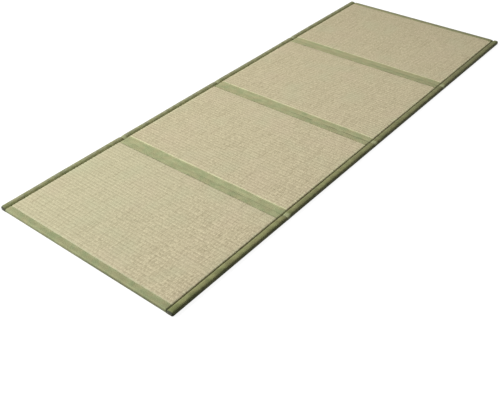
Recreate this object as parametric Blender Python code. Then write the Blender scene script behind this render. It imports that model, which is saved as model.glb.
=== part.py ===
"""Folding floor mat: four rush-faced panels joined by cloth bands, bound in cloth, lying flat.

Units are metres. X runs along the mat from its near end to its far end, Y across it and Z up.
The origin is on the floor under the middle of the mat.
"""
import math

import bmesh
import bpy

# Whole mat
LENGTH = 2.100
WIDTH = 0.820
PANEL_COUNT = 4
PANEL_PITCH = LENGTH / PANEL_COUNT
FOLD_LINES = [-LENGTH / 2 + PANEL_PITCH * k for k in range(1, PANEL_COUNT)]

# Clearances
GAP = 0.0003  # between two pieces that lie on each other
SEAM_GAP = 0.0004  # between a binding's lip and the step in the panel beside it
WELD = 0.00001  # corners closer than this are one corner

# Cloth
CLOTH = 0.0012  # thickness of the bindings and bands
NOSE_ANGLES = (-50, 0, 35, 64)  # degrees round the nose of a binding, 0 straight out

# Side binding, a padded roll from the floor over the long edge to the top seam
SIDE_WIDTH = 0.026  # outer edge to seam
SIDE_HEIGHT = 0.0175
SIDE_NOSE = 0.0090  # how far the rounded outer edge reaches in
SIDE_SEAM_HEIGHT = 0.0126
SIDE_CROWN = ((0.0160, 0.0171), (0.0225, 0.0152))  # distance in, height
SIDE_END_WALL = 0.0030  # folded-in cloth that closes each end
FLANGE_SETBACK = 0.0090  # the panel's padded side edge stops this far from the mat's end
SIDE_END_ROUND = 0.0012  # length of the rounded rim at each end
SIDE_STATIONS = (0.25, 0.75)  # extra cross sections, as shares of each panel's length
SIDE_END_SHRINK = 0.93  # height of the end's outer rim over the full height
SIDE_WAVE = 0.0004  # unevenness of the roll's height along the mat
SIDE_WAVE_RATE = 9.0  # radians per metre
SIDE_WAVE_SHIFT = 2.0  # radians that one side's unevenness runs ahead

# End binding, a flat strip folded over the short edge
END_WIDTH = 0.024
END_HEIGHT = 0.0160
END_NOSE = 0.0075
END_SEAM_HEIGHT = 0.0156
END_CROWN = ((0.0150, 0.0159),)

# Rush panel
RUSH_TOP = 0.0154  # valley between two ribs, away from the seams
RIB_PITCH = 0.01333
RIB_HEIGHT = 0.0008
LOW_RIB = 0.75  # every second rib over the first
SEAM_DIP = 0.0022  # how much lower the rush lies at the side seam
END_DIP = 0.0007  # and at a band or an end binding
END_DIP_REACH = 0.010
SIDE_DIP_STEPS = ((0.0, 1.0), (0.006, 0.38), (0.018, 0.0))  # distance from the seam, share of the dip
RUSH_WAVE = 0.0004  # slow unevenness of the face
RUSH_WAVE_RATES = (7.3, 5.9)  # radians per metre along and across the mat
RUSH_WAVE_SLANT = 2.3  # radians per metre that the waves across drift along the mat
RUSH_WAVE_START = 1.1  # radians
WAVE_START = 0.030  # distance from a seam at which the unevenness is full
SEAM_WALL = WIDTH / 2 - SIDE_WIDTH - SEAM_GAP  # Y of the step in a panel beside a side binding
UNDER_LIP = CLOTH + 2 * GAP  # underside of a panel's edge, over a binding's lower lip

# Fold: the filling thins towards the fold line and the cloth dips into it
FOLD_GAP = 0.006  # between the fillings of neighbouring panels
FOLD_REACH = 0.018  # how far from the fold line the dip starts
NEAR_STEPS = (FOLD_GAP / 2, 0.0055, 0.0100, FOLD_REACH)  # cross sections before a fold line
FAR_STEPS = (FOLD_GAP / 2, 0.0055, 0.0100, FOLD_REACH, 0.024)  # and after it
FOLD_DIP = 0.0042  # depth at the fold line
FOLD_SHARPNESS = 1.5  # 1 gives a straight slope, more a sharper crease
PINCH_DEPTHS = (0.0080, 0.0046, 0.0060)  # of the side roll at each fold, near to far
PINCH_REACHES = (0.016, 0.024)  # how far a pinch reaches before and after its fold line
PINCH_SHARPNESS = 1.15
PINCH_IN = 0.35  # how far the roll's outer edge moves in, over the pinch's depth
PINCH_AT_SEAM = 0.5  # share of the pinch that is left at the seam

# Fold band, a strip of cloth let into the top over each fold line
BAND_WIDTH = 0.050
BAND_WAVE = 0.0008  # unevenness of the band's two edges
BAND_WAVE_RATE = 31.0  # radians per metre across the mat
BAND_WAVE_STEP = 2.0  # radians from one band to the next
SEAT_WIDTH = 0.0530  # flat strip in the panels that the band lies on
BAND_STATIONS = 8  # stretches between cross sections along a band
BAND_CREASES = (  # where across the mat each band is creased deepest, how far, how deep
    (-0.140, 0.110, 0.0022),
    (-0.250, 0.130, 0.0018),
    (0.050, 0.300, 0.0008),
)

SHARP_ANGLE = math.radians(35)  # edges sharper than this are shaded as corners

# Finishes: linear colour and roughness
RUSH = ((0.53, 0.49, 0.32), 0.85)
BAND_CLOTH = ((0.36, 0.38, 0.21), 0.9)
SIDE_CLOTH = ((0.23, 0.25, 0.115), 0.9)


def clear_scene():
    """Remove the objects that a new scene comes with."""
    for item in list(bpy.data.objects):
        bpy.data.objects.remove(item, do_unlink=True)


def finish_material(name, finish):
    """Return a material of its own for one piece."""
    colour, roughness = finish
    material = bpy.data.materials.new(name)
    material.use_nodes = True
    shader = material.node_tree.nodes["Principled BSDF"]
    shader.inputs["Base Color"].default_value = (*colour, 1.0)
    shader.inputs["Roughness"].default_value = roughness
    shader.inputs["Metallic"].default_value = 0.0
    return material


def solid_from_faces(name, faces, finish):
    """Weld faces given by their corners into one closed solid."""
    mesh = bpy.data.meshes.new(name)
    work = bmesh.new()
    for corners in faces:
        work.faces.new([work.verts.new(corner) for corner in corners])
    bmesh.ops.remove_doubles(work, verts=work.verts, dist=WELD)
    bmesh.ops.recalc_face_normals(work, faces=work.faces)
    work.to_mesh(mesh)
    work.free()
    mesh.shade_smooth()
    mesh.set_sharp_from_angle(angle=SHARP_ANGLE)
    mesh.materials.append(finish_material(name, finish))
    piece = bpy.data.objects.new(name, mesh)
    bpy.context.scene.collection.objects.link(piece)
    return piece


def strip_faces(rows):
    """Return the four-cornered faces between successive rows of points."""
    faces = []
    for row, following in zip(rows, rows[1:]):
        for i in range(len(row) - 1):
            faces.append((row[i], row[i + 1], following[i + 1], following[i]))
    return faces


def loop_faces(loops):
    """Return the faces of a tube through closed loops of points, with both ends capped."""
    closed = [loop + loop[:1] for loop in loops]
    return strip_faces(closed) + [loops[0], loops[-1]]


def nose_points(reach, height):
    """Return the rounded outer edge, from the floor up, as distance in and height."""
    half = height / 2
    points = [(reach, 0.0)]
    for angle in NOSE_ANGLES:
        turn = math.radians(angle)
        points.append((reach - reach * math.cos(turn), half + half * math.sin(turn)))
    points.append((reach, height))
    return points


def inset_curve(points, distance):
    """Return a curve inside another, by the distance, with its two ends kept level with it."""
    inner = []
    last = len(points) - 1
    for i, (u, z) in enumerate(points):
        before = points[max(i - 1, 0)]
        after = points[min(i + 1, last)]
        du = after[0] - before[0]
        dz = after[1] - before[1]
        size = math.hypot(du, dz)
        inner.append((u + distance * dz / size, z - distance * du / size))
    inner[0] = (points[0][0], inner[0][1])
    inner[-1] = (points[-1][0], inner[-1][1])
    return inner


def run_on(points, distance):
    """Return where a curve's last stretch gets to when it runs straight on to a distance in."""
    (before, high), (last, low) = points[-2:]
    return distance, low + (low - high) * (distance - last) / (last - before)


def fall(distance, reach, sharpness):
    """Return 1 at distance 0, falling to 0 at the reach, steepest at 0."""
    return max(0.0, 1.0 - distance / reach) ** sharpness


def pinch_at(x):
    """Return how deep the side roll is pinched at x."""
    deepest = 0.0
    for depth, line in zip(PINCH_DEPTHS, FOLD_LINES):
        reach = PINCH_REACHES[0] if x < line else PINCH_REACHES[1]
        deepest = max(deepest, depth * fall(abs(x - line), reach, PINCH_SHARPNESS))
    return deepest


def fold_dip_at(x):
    """Return how far the top of the mat dips towards a fold line at x."""
    nearest = min(abs(x - line) for line in FOLD_LINES)
    return FOLD_DIP * fall(nearest, FOLD_REACH, FOLD_SHARPNESS)


def side_curve(x, side):
    """Return the side roll's outer curve at x, from its lower lip over the top to its seam."""
    wave = SIDE_WAVE * math.sin(SIDE_WAVE_RATE * x + SIDE_WAVE_SHIFT * side)
    top = [*SIDE_CROWN, (SIDE_WIDTH, SIDE_SEAM_HEIGHT)]
    curve = [(SIDE_WIDTH, 0.0), *nose_points(SIDE_NOSE, SIDE_HEIGHT), *top]
    pinch = pinch_at(x)
    pinched = []
    for u, z in curve:
        share = z / SIDE_HEIGHT
        inward = PINCH_IN * pinch * share * max(0.0, 1.0 - u / SIDE_NOSE)
        across = u / SIDE_WIDTH
        drop = pinch * (1.0 - PINCH_AT_SEAM * across**2) - wave * (1.0 - across)
        pinched.append((u + inward, z - drop * share))
    return pinched


def end_curve():
    """Return the end binding's outer curve, from its lower lip over the top to its seam."""
    top = [*END_CROWN, (END_WIDTH, END_SEAM_HEIGHT)]
    return [(END_WIDTH, 0.0), *nose_points(END_NOSE, END_HEIGHT), *top]


def fold_stations(line, way):
    """Return the places before (way -1) or after (way 1) a fold line where cross sections are cut."""
    return [line + way * step for step in (NEAR_STEPS if way < 0 else FAR_STEPS)]


def side_stations():
    """Return the places along the mat where the side roll's cross sections are cut."""
    places = list(FOLD_LINES)
    for line in FOLD_LINES:
        places += fold_stations(line, -1) + fold_stations(line, 1)
    for k in range(PANEL_COUNT):
        start = -LENGTH / 2 + k * PANEL_PITCH
        places += [start + share * PANEL_PITCH for share in SIDE_STATIONS]
    ends = LENGTH / 2 - SIDE_END_WALL
    return sorted(places + [-ends, ends])


def side_loop(x, side, filled, shrink=1.0):
    """Return one closed cross section of a side binding at x.

    A filled section closes the end of the binding: its inner curve lies flat on the mouth.
    """
    outer = []
    for u, z in side_curve(x, side):
        rounding = (1.0 - shrink) * max(0.0, SIDE_NOSE - u)
        outer.append((u + rounding, z * shrink))
    inner = inset_curve(outer, CLOTH)
    if filled:
        low, high = inner[0][1], inner[-1][1]
        steps = len(inner) - 1
        inner = [(SIDE_WIDTH, low + (high - low) * i / steps) for i in range(steps + 1)]
    return [(x, side * (WIDTH / 2 - u), z) for u, z in outer + inner[::-1]]


def build_side_binding(name, side):
    """Build the cloth roll along one long edge, closed at its two ends."""
    edge = LENGTH / 2
    shoulder = edge - SIDE_END_ROUND
    loops = [side_loop(-edge, side, True, SIDE_END_SHRINK), side_loop(-shoulder, side, True)]
    loops += [side_loop(x, side, False) for x in side_stations()]
    loops += [side_loop(shoulder, side, True), side_loop(edge, side, True, SIDE_END_SHRINK)]
    return solid_from_faces(name, loop_faces(loops), SIDE_CLOTH)


def across_stations():
    """Return the places across a panel where its top bends, with the dip at each."""
    half = [(SEAM_WALL - distance, share * SEAM_DIP) for distance, share in SIDE_DIP_STEPS]
    left = [(-y, dip) for y, dip in half]
    return left + [(0.0, 0.0)] + half[::-1]


def dip_across(y):
    """Return the dip towards the side seams at y, in straight lines between the stations."""
    inwards = max(0.0, SEAM_WALL - abs(y))
    for (near, high), (far, low) in zip(SIDE_DIP_STEPS, SIDE_DIP_STEPS[1:]):
        if inwards < far:
            return SEAM_DIP * (high + (low - high) * (inwards - near) / (far - near))
    return 0.0


def lowered(z, dip):
    """Return a height after a dip of the face, which the points below share in proportion."""
    return z - dip * min(1.0, z / RUSH_TOP)


def build_end_binding(name, end):
    """Build the cloth strip folded over one short edge, between the two side bindings."""
    outer = end_curve()
    section = outer + inset_curve(outer, CLOTH)[::-1]
    reach = WIDTH / 2 - SIDE_WIDTH - GAP
    loops = []
    for y, dip in across_stations():
        place = math.copysign(reach, y) if abs(y) == SEAM_WALL else y
        loops.append([(end * (LENGTH / 2 - u), place, lowered(z, dip)) for u, z in section])
    return solid_from_faces(name, loop_faces(loops), BAND_CLOTH)


def slow_wave(x, y):
    """Return the slow unevenness of the rush face."""
    along, across = RUSH_WAVE_RATES
    rise = math.sin(along * x + RUSH_WAVE_START)
    return RUSH_WAVE * rise * math.cos(across * y + RUSH_WAVE_SLANT * x)


def rib_rows(start, stop):
    """Return the ribbed stretch of a panel's top: place along X, height, share of unevenness."""
    count = round((stop - start) / RIB_PITCH)
    rows = []
    for i in range(2 * count + 1):
        x = start + (stop - start) * i / (2 * count)
        rib = i // 2
        rise = RIB_HEIGHT * (1.0 if rib % 2 == 0 else LOW_RIB) * (i % 2)
        to_end = min(x - start, stop - x)
        height = RUSH_TOP + rise - END_DIP * fall(to_end, END_DIP_REACH, 1.0)
        rows.append((x, height, min(1.0, to_end / WAVE_START)))
    return rows


def seat_height(x):
    """Return the height of the strip that a fold band lies on."""
    return RUSH_TOP - CLOTH - GAP - fold_dip_at(x)


def seat_rows(line, way):
    """Return the strip under one half of a fold band, from the fold gap outwards."""
    places = fold_stations(line, way) + [line + way * SEAT_WIDTH / 2]
    return [(x, seat_height(x), 0.0) for x in places]


def nose_rows(end):
    """Return a panel's short edge under the end binding, from the floor over the top."""
    inner = inset_curve(end_curve(), CLOTH + GAP)
    step = END_WIDTH + SEAM_GAP
    inner[0] = (step, inner[0][1])
    inner[-1] = (step, inner[-1][1])
    return [(end * (LENGTH / 2 - u), z, 0.0) for u, z in [(step, 0.0)] + inner]


def panel_profile(index):
    """Return a panel's outline along its length, from its near foot over the top to its far foot."""
    first = index == 0
    last = index == PANEL_COUNT - 1
    near = nose_rows(-1) if first else seat_rows(FOLD_LINES[index - 1], 1)
    far = nose_rows(1) if last else seat_rows(FOLD_LINES[index], -1)
    return near + rib_rows(near[-1][0] + SEAM_GAP, far[-1][0] - SEAM_GAP) + far[::-1]


def panel_rows(index):
    """Return the rows of points over a panel's top, one row for each place in its outline."""
    rows = []
    for x, z, uneven in panel_profile(index):
        row = []
        for y, dip in across_stations():
            height = z if z <= UNDER_LIP else lowered(z, dip - uneven * slow_wave(x, y))
            row.append((x, y, height))
        rows.append(row)
    return rows


def flange_stations(index):
    """Return where a panel's padded side edge has its cross sections."""
    low = -LENGTH / 2 + index * PANEL_PITCH
    high = low + PANEL_PITCH
    low_end = low + (FLANGE_SETBACK if index == 0 else FOLD_GAP / 2)
    high_end = high - (FLANGE_SETBACK if index == PANEL_COUNT - 1 else FOLD_GAP / 2)
    inside = [x for x in side_stations() if low_end + WELD < x < high_end - WELD]
    return [low_end] + inside + [high_end]


def flange_row(x, side):
    """Return a panel's padded side edge at x, from under the roll over the top to the seam."""
    inner = inset_curve(side_curve(x, side), CLOTH + GAP)
    inner = [(u, max(z, UNDER_LIP)) for u, z in inner]
    step = SIDE_WIDTH + SEAM_GAP
    inner[0] = (step, inner[0][1])
    inner[-1] = run_on(inner, step)
    return [(x, side * (WIDTH / 2 - u), z) for u, z in inner]


def wall_faces(top, flange, near_open, far_open):
    """Return the upright wall under a side seam, around the padded edge that grows out of it."""
    upper = [row[-1] for row in flange]
    lower = [row[0] for row in flange]
    near_foot = (top[0][0], top[0][1], 0.0)
    far_foot = (top[-1][0], top[-1][1], 0.0)
    if near_open and far_open:
        return [top + upper[::-1], [near_foot, *lower, far_foot]]
    if far_open:
        return [top + upper[::-1] + lower + [far_foot]]
    return [top[::-1] + upper + lower[::-1] + [near_foot]]


def feet_of(row, is_open):
    """Return the points on the floor at one end of a panel, from -Y to +Y."""
    if is_open:
        return [(x, y, 0.0) for x, y, _ in (row[0], row[-1])]
    return row


def end_faces(row, flanges, is_open):
    """Return the upright faces at one end of a panel: its whole end, or that of each side edge."""
    left, right = flanges
    if not is_open:
        return [left, right]
    feet = feet_of(row, is_open)
    return [[feet[0], *left, *row, *right[::-1], feet[1]]]


def build_panel(index):
    """Build one padded panel: its ribbed rush face and the edges that the bindings cover."""
    rows = panel_rows(index)
    near_open = index > 0
    far_open = index < PANEL_COUNT - 1
    places = flange_stations(index)
    left = [flange_row(x, -1) for x in places]
    right = [flange_row(x, 1) for x in places]
    faces = strip_faces(rows) + strip_faces(left) + strip_faces(right)
    faces += wall_faces([row[0] for row in rows], left, near_open, far_open)
    faces += wall_faces([row[-1] for row in rows], right, near_open, far_open)
    faces += end_faces(rows[0], (left[0], right[0]), near_open)
    faces += end_faces(rows[-1], (left[-1], right[-1]), far_open)
    faces.append(feet_of(rows[0], near_open) + feet_of(rows[-1], far_open)[::-1])
    return solid_from_faces(f"rush_panel_{index + 1}", faces, RUSH)


def band_loop(index, y):
    """Return one closed cross section of a fold band at y."""
    line = FOLD_LINES[index]
    creased, spread, extra = BAND_CREASES[index]
    deeper = extra * math.exp(-(((y - creased) / spread) ** 2))
    lower = []
    for way in (-1, 1):
        wave = BAND_WAVE * math.sin(BAND_WAVE_RATE * y + BAND_WAVE_STEP * index + way)
        edge = line + way * (BAND_WIDTH / 2 + wave)
        half = [(x, seat_height(x)) for x in [edge, *fold_stations(line, way)[::-1]]]
        if way < 0:
            lower += half + [(line, seat_height(line) - deeper)]
        else:
            lower += half[::-1]
    dip = dip_across(y)
    lower = [(x, lowered(z, dip) + GAP) for x, z in lower]
    upper = [(x, z + CLOTH) for x, z in lower]
    return [(x, y, z) for x, z in lower + upper[::-1]]


def build_band(index):
    """Build the strip of cloth over one fold line, dipping into the fold."""
    reach = SEAM_WALL - GAP
    places = [-reach + 2 * reach * i / BAND_STATIONS for i in range(BAND_STATIONS + 1)]
    places += [y for y, _ in across_stations() if abs(y) < SEAM_WALL and y != 0.0]
    loops = [band_loop(index, y) for y in sorted(places)]
    return solid_from_faces(f"fold_band_{index + 1}", loop_faces(loops), BAND_CLOTH)


def main():
    """Build every piece of the mat."""
    clear_scene()
    for index in range(PANEL_COUNT):
        build_panel(index)
    for index in range(len(FOLD_LINES)):
        build_band(index)
    build_end_binding("end_binding_near", -1)
    build_end_binding("end_binding_far", 1)
    build_side_binding("side_binding_right", -1)
    build_side_binding("side_binding_left", 1)


main()
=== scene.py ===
"""Looks of a folding floor mat: woven rush faces, cloth bands over its folds and padded cloth edges.

Units are metres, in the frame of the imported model: X runs along the mat from its near end to its
far end, Y across it and Z up, with the floor at 0. Angles are in radians unless a name says degrees.
"""

import logging
import math
from collections.abc import Sequence
from dataclasses import dataclass
from enum import Enum
from typing import Any

import bpy
import numpy as np
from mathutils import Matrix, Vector


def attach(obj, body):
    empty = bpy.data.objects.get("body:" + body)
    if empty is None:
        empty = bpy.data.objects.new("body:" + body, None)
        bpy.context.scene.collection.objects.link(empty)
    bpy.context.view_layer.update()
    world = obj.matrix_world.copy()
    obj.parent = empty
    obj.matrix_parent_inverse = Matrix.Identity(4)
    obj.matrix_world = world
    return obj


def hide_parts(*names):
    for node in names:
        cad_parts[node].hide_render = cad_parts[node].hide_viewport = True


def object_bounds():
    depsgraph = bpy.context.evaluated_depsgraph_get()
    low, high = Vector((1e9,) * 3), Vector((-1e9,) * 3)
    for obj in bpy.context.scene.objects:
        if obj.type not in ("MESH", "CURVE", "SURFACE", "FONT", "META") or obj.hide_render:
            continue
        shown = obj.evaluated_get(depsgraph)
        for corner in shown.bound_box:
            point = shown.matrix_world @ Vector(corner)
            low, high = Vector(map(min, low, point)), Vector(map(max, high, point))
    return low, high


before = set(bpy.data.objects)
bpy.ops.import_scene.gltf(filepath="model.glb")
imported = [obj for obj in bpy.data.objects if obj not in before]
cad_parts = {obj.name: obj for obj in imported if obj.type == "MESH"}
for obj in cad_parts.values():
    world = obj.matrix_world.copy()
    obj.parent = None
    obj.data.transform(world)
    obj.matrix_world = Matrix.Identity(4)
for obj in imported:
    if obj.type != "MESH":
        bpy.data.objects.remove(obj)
CAD_LOW, CAD_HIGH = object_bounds()

BODY = "root"
LOG = logging.getLogger("mat")

Colour = tuple[float, float, float]


class End(Enum):
    """The two short ends of the mat, as the sign of X."""

    NEAR = -1
    FAR = 1


class Side(Enum):
    """The two long edges of the mat, as the sign of Y."""

    RIGHT = -1
    LEFT = 1


class Slot(Enum):
    """The record's material slots."""

    RUSH = "rush"
    BAND = "band_cloth"
    SIDE = "side_cloth"


def smooth_step(value: np.ndarray) -> np.ndarray:
    """Return the value held between 0 and 1 and eased at both ends."""
    held = np.clip(value, 0.0, 1.0)
    return held * held * (3.0 - 2.0 * held)


@dataclass(frozen=True)
class Unevenness:
    """Smooth seeded noise over a surface, from -1 to 1, with its own cell size each way."""

    seed: int
    cell: tuple[float, float]
    table_size: int = 128

    def at(self, along: np.ndarray, across: np.ndarray) -> np.ndarray:
        """Return the noise at places on the surface.

        Args:
            along: Places in the first direction.
            across: Places in the second direction, of a shape that broadcasts with the first.

        Returns:
            The noise at each place.
        """
        table = np.random.default_rng(self.seed).uniform(-1.0, 1.0, (self.table_size, self.table_size))
        first, second = np.broadcast_arrays(along / self.cell[0], across / self.cell[1])
        i, j = np.floor(first).astype(int), np.floor(second).astype(int)
        s, t = smooth_step(first - i), smooth_step(second - j)
        size = self.table_size
        near = table[i % size, j % size] * (1 - t) + table[i % size, (j + 1) % size] * t
        far = table[(i + 1) % size, j % size] * (1 - t) + table[(i + 1) % size, (j + 1) % size] * t
        return near * (1 - s) + far * s


class Value:
    """A shader socket that carries a number. Python's operators on it add Math nodes."""

    def __init__(self, paint: "Paint", socket: bpy.types.NodeSocket) -> None:
        """Wrap a socket of a paint's node tree."""
        self.paint = paint
        self.socket = socket

    def _math(self, operation: str, *terms: Any) -> "Value":
        """Return the result of one Math node on some values or numbers."""
        node = self.paint.node("ShaderNodeMath", {"operation": operation}, dict(enumerate(terms)))
        return Value(self.paint, node.outputs[0])

    def __add__(self, other: Any) -> "Value":
        """Return the sum."""
        return self._math("ADD", self, other)

    def __radd__(self, other: Any) -> "Value":
        """Return the sum with a number on the left."""
        return self._math("ADD", other, self)

    def __sub__(self, other: Any) -> "Value":
        """Return the difference."""
        return self._math("SUBTRACT", self, other)

    def __rsub__(self, other: Any) -> "Value":
        """Return the difference from a number on the left."""
        return self._math("SUBTRACT", other, self)

    def __mul__(self, other: Any) -> "Value":
        """Return the product."""
        return self._math("MULTIPLY", self, other)

    def __rmul__(self, other: Any) -> "Value":
        """Return the product with a number on the left."""
        return self._math("MULTIPLY", other, self)

    def floor(self) -> "Value":
        """Return the whole number below."""
        return self._math("FLOOR", self)

    def fraction(self) -> "Value":
        """Return what is left above the whole number below."""
        return self._math("FRACT", self)

    def size(self) -> "Value":
        """Return the value without its sign."""
        return self._math("ABSOLUTE", self)

    def sine(self) -> "Value":
        """Return the sine."""
        return self._math("SINE", self)

    def most(self, other: Any) -> "Value":
        """Return the larger of two."""
        return self._math("MAXIMUM", self, other)

    def eased(self, low: float, high: float) -> "Value":
        """Return 0 to 1, eased, as the value goes from one number to another, which may be smaller.

        Args:
            low: The value that gives 0.
            high: The value that gives 1.

        Returns:
            The eased share.
        """
        inputs = {"Value": self, "From Min": low, "From Max": high}
        settings = {"interpolation_type": "SMOOTHSTEP", "clamp": True}
        return Value(self.paint, self.paint.node("ShaderNodeMapRange", settings, inputs).outputs[0])

    def inside(self, start: float, full: float, last: float, stop: float) -> "Value":
        """Return 0 to 1 and back to 0, eased, as the value passes four numbers.

        Args:
            start: The value from which the share rises.
            full: The value from which it is 1.
            last: The value from which it falls.
            stop: The value from which it is 0 again.

        Returns:
            The eased share.
        """
        return self.eased(start, full) * self.eased(stop, last)


class Paint:
    """One material, whose nodes are written as expressions."""

    def __init__(self, name: str) -> None:
        """Start a material with a Principled shader.

        Args:
            name: Name of the material.
        """
        self.material = bpy.data.materials.new(name)
        self.material.use_nodes = True
        self.tree = self.material.node_tree
        self.shader = self.tree.nodes["Principled BSDF"]

    def node(self, kind: str, settings: dict[str, Any], inputs: dict[Any, Any]) -> bpy.types.Node:
        """Add a node.

        Args:
            kind: The node's type.
            settings: Its properties, set before its sockets.
            inputs: A number, a colour, a Value or a socket for each of its sockets.

        Returns:
            The new node.
        """
        node = self.tree.nodes.new(kind)
        for key, setting in settings.items():
            setattr(node, key, setting)
        for key, given in inputs.items():
            self.feed(node.inputs[key], given)
        return node

    def feed(self, socket: bpy.types.NodeSocket, given: Any) -> None:
        """Set a socket to a number or colour, or link a value or another socket to it.

        Args:
            socket: The socket.
            given: A number, a colour, a Value or another socket.
        """
        if isinstance(given, Value):
            self.tree.links.new(given.socket, socket)
        elif isinstance(given, bpy.types.NodeSocket):
            self.tree.links.new(given, socket)
        elif isinstance(given, tuple) and len(given) == 3 and socket.type == "RGBA":
            socket.default_value = (*given, 1.0)
        else:
            socket.default_value = given

    def place(self) -> tuple[Value, Value, Value]:
        """Return the place on the surface, in metres along, across and up."""
        coordinates = self.node("ShaderNodeTexCoord", {}, {})
        parted = self.node("ShaderNodeSeparateXYZ", {}, {0: coordinates.outputs["Object"]})
        along, across, up = (Value(self, socket) for socket in parted.outputs)
        return along, across, up

    def vector(self, first: Any, second: Any, third: Any = 0.0) -> bpy.types.NodeSocket:
        """Return three values as a vector."""
        return self.node("ShaderNodeCombineXYZ", {}, {0: first, 1: second, 2: third}).outputs[0]

    def noise(self, vector: bpy.types.NodeSocket, detail: float = 1.0) -> Value:
        """Return smooth noise at a place, about 0 to 1, with cells of size 1.

        Args:
            vector: The place.
            detail: How many finer layers of noise it has.

        Returns:
            The noise.
        """
        settings = {"noise_dimensions": "3D"}
        inputs = {"Vector": vector, "Scale": 1.0, "Detail": detail, "Roughness": 0.5}
        return Value(self, self.node("ShaderNodeTexNoise", settings, inputs).outputs[0])

    def random(self, vector: bpy.types.NodeSocket) -> Value:
        """Return a random number from 0 to 1 for each whole-numbered place."""
        settings = {"noise_dimensions": "3D"}
        return Value(self, self.node("ShaderNodeTexWhiteNoise", settings, {"Vector": vector}).outputs[0])

    def mix(self, share: Any, first: Any, second: Any) -> bpy.types.NodeSocket:
        """Return a mix of two colours.

        Args:
            share: How much of the second colour, 0 to 1.
            first: A colour or its socket.
            second: A colour or its socket.

        Returns:
            The mixed colour's socket.
        """
        node = self.node("ShaderNodeMix", {"data_type": "RGBA"}, {"Factor": share})
        self.feed(node.inputs[6], first)
        self.feed(node.inputs[7], second)
        return node.outputs[2]

    def bump(self, height: Value, distance: float) -> None:
        """Raise the surface's shading by a height of 0 to 1 times a distance."""
        inputs = {"Height": height, "Distance": distance, "Strength": 1.0}
        self.feed(self.shader.inputs["Normal"], self.node("ShaderNodeBump", {}, inputs).outputs[0])

    def set(self, **sockets: Any) -> None:
        """Set or link the shader's sockets, named with _ for a space."""
        for name, given in sockets.items():
            self.feed(self.shader.inputs[name.replace("_", " ")], given)


@dataclass(frozen=True)
class MatForm:
    """Sizes that several sub-assemblies share, and the shapes worked out from them."""

    length: float = CAD_HIGH.x - CAD_LOW.x
    width: float = CAD_HIGH.y - CAD_LOW.y
    panel_count: int = 4
    gap: float = 0.0003
    cloth: float = 0.0012
    rush_top: float = 0.0154
    seam_gap: float = 0.0004
    side_width: float = 0.026
    side_height: float = 0.0175
    side_nose: float = 0.0090
    fold_gap: float = 0.006
    fold_reach: float = 0.018
    fold_dip: float = 0.0010
    fold_sharpness: float = 2.0
    pinch_depths: tuple[float, ...] = (0.0058, 0.0036, 0.0046)
    pinch_reaches: tuple[float, float] = (0.007, 0.021)
    pinch_powers: tuple[float, float] = (1.3, 1.0)
    pinch_in: float = 0.25
    pinch_at_seam: float = 0.35
    side_dip: tuple[tuple[float, float], ...] = (
        (0.0, 0.0062),
        (0.0008, 0.0038),
        (0.0020, 0.0017),
        (0.0038, 0.0009),
        (0.0090, 0.0005),
        (0.0180, 0.0),
    )

    @property
    def panel_pitch(self) -> float:
        """Return the length of mat that belongs to one panel."""
        return self.length / self.panel_count

    @property
    def fold_lines(self) -> list[float]:
        """Return where along the mat it folds."""
        return [-self.length / 2 + self.panel_pitch * k for k in range(1, self.panel_count)]

    @property
    def seam_wall(self) -> float:
        """Return how far from the middle a panel's face reaches."""
        return self.width / 2 - self.side_width - self.seam_gap

    def pinch(self, x: np.ndarray) -> np.ndarray:
        """Return how deep the side rolls are pinched at places along the mat.

        Args:
            x: The places along the mat.

        Returns:
            The depths.
        """
        deepest = np.zeros_like(x)
        for depth, line in zip(self.pinch_depths, self.fold_lines):
            reach = np.where(x < line, *self.pinch_reaches)
            power = np.where(x < line, *self.pinch_powers)
            share = np.clip(1.0 - np.abs(x - line) / reach, 0.0, 1.0) ** power
            deepest = np.maximum(deepest, depth * share)
        return deepest

    def dip_to_fold(self, distance: np.ndarray) -> np.ndarray:
        """Return how far the top dips at distances from a fold line."""
        share = np.clip(1.0 - np.abs(distance) / self.fold_reach, 0.0, 1.0)
        return self.fold_dip * share**self.fold_sharpness

    def across(self, count: int, reach: float) -> np.ndarray:
        """Return places across the mat, closer together where the top turns into the side seams.

        Args:
            count: How many even places.
            reach: How far from the middle they go.

        Returns:
            The places, from right to left.
        """
        turns = reach - np.array([distance for distance, _ in self.side_dip[1:4]])
        return np.sort(np.concatenate([np.linspace(-reach, reach, count), -turns, turns]))

    def dip_to_side(self, y: np.ndarray) -> np.ndarray:
        """Return how far the face dips towards the side seams at places across the mat."""
        distances, dips = zip(*self.side_dip)
        return np.interp(self.seam_wall - np.abs(y), distances, dips)


FORM = MatForm()


def rounded(turns: np.ndarray, low: float, high: float) -> tuple[np.ndarray, np.ndarray]:
    """Return points round an edge, squarer than a half circle.

    Args:
        turns: Angles, from -pi / 2 at the foot to pi / 2 at the top.
        low: Squareness below the middle, where 1 is round and less is squarer.
        high: Squareness above it.

    Returns:
        How far out each point is, 0 to 1, and how high it is, -1 to 1.
    """
    power = np.where(turns < 0, low, high)
    out = np.maximum(np.cos(turns), 0.0) ** power
    return out, np.sign(turns) * np.abs(np.sin(turns)) ** power


def inset(curves: np.ndarray, distance: float) -> np.ndarray:
    """Return curves inside others, their two ends kept level with them.

    Args:
        curves: Distance in and height of each point, shaped (curves, points, 2).
        distance: How far inside.

    Returns:
        The inner curves, of the same shape.
    """
    before = np.concatenate([curves[:, :1], curves[:, :-1]], axis=1)
    after = np.concatenate([curves[:, 1:], curves[:, -1:]], axis=1)
    run = after - before
    size = np.linalg.norm(run, axis=2, keepdims=True)
    normal = np.stack([run[..., 1], -run[..., 0]], axis=2) / size
    inner = curves + distance * normal
    inner[:, 0, 0] = curves[:, 0, 0]
    inner[:, -1, 0] = curves[:, -1, 0]
    return inner


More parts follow.
